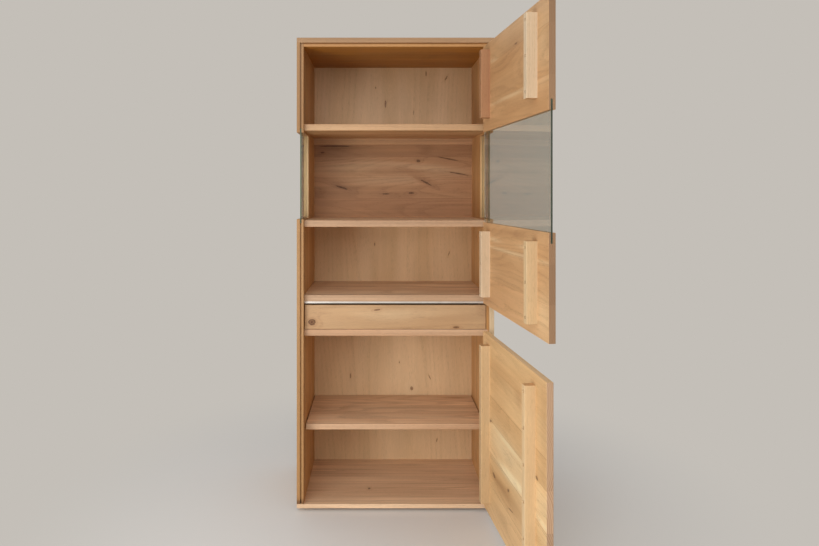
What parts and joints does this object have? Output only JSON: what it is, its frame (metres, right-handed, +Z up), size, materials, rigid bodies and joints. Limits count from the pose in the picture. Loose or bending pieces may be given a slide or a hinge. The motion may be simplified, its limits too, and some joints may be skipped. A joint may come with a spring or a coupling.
{
  "type": "display cabinet",
  "caption": "Tall oak display cabinet with inset doors on butt hinges, a glazed band round the display bay, housed shelves, a loose shelf and a drawer between the doors.",
  "frame": {"origin": "on the floor, under the middle of the case's footprint", "axes": "+Z up; +X to the right of someone facing the doors; +Y from the front to the back"},
  "size_m": [0.7893, 1.136, 1.776],
  "materials": {
    "oak_case": "oiled",
    "oak_shelf": "oiled",
    "oak_door": "oiled",
    "oak_drawer_front": "oiled",
    "oak_batten": "oiled",
    "knotty_oak_lining": "oiled",
    "plywood_back": "lacquered plywood",
    "drawer_box_wood": "lacquered",
    "dark_plinth": "dark stained",
    "beech_dowel": "raw",
    "clear_glass": "polished",
    "aluminium_strip": "satin",
    "hinge_steel": "satin",
    "screw_steel": "zinc plated",
    "pin_steel": "nickel plated"
  },
  "bodies": {
    "case": {"bottom_panel": "oak_case", "left_side_panel": "oak_case", "right_side_panel": "oak_case", "top_panel": "oak_case", "inner_top_panel": "oak_case", "upper_shelf": "oak_shelf", "middle_shelf": "oak_shelf", "lower_shelf": "oak_shelf", "drawer_shelf": "oak_shelf", "loose_shelf": "oak_shelf", "display_back_panel": "knotty_oak_lining", "display_back_rail": "knotty_oak_lining", "back_panel": "plywood_back", "left_drawer_kicker": "drawer_box_wood", "right_drawer_kicker": "drawer_box_wood", "plinth_board": "dark_plinth", "case_dowels": "beech_dowel", "left_side_glass": "clear_glass", "right_side_glass": "clear_glass", "drawer_grip_strip": "aluminium_strip", "hinge_jamb_leaves": "hinge_steel", "hinge_pins": "hinge_steel", "hinge_jamb_screws": "screw_steel", "back_panel_screws": "screw_steel", "loose_shelf_pins": "pin_steel"},
    "upper_door": {"upper_door_top_panel": "oak_door", "upper_door_lower_panel": "oak_door", "upper_door_top_hinge_batten": "oak_batten", "upper_door_top_free_batten": "oak_batten", "upper_door_lower_hinge_batten": "oak_batten", "upper_door_lower_free_batten": "oak_batten", "upper_door_glass": "clear_glass", "upper_door_hinge_leaves": "hinge_steel", "upper_door_hinge_screws": "screw_steel", "upper_door_batten_screws": "screw_steel"},
    "lower_door": {"lower_door_panel": "oak_door", "lower_door_hinge_batten": "oak_batten", "lower_door_free_batten": "oak_batten", "lower_door_hinge_leaves": "hinge_steel", "lower_door_hinge_screws": "screw_steel", "lower_door_batten_screws": "screw_steel"},
    "drawer": {"drawer_front": "oak_drawer_front", "drawer_left_side": "drawer_box_wood", "drawer_right_side": "drawer_box_wood", "drawer_back": "drawer_box_wood", "drawer_bottom": "drawer_box_wood"}
  },
  "joints": [
    {"name": "upper_door_swing", "type": "hinge", "parent": "case", "child": "upper_door", "pos_m": [0.351, -0.224, 1.26], "axis": [0, 0, 1], "range_deg": [-96, 24]},
    {"name": "lower_door_swing", "type": "hinge", "parent": "case", "child": "lower_door", "pos_m": [0.351, -0.224, 0.355], "axis": [0, 0, 1], "range_deg": [-95.5, 24.5]},
    {"name": "drawer_slide", "type": "slide", "parent": "case", "child": "drawer", "axis": [0, -1, 0], "range_m": [0, 0.27]}
  ]
}
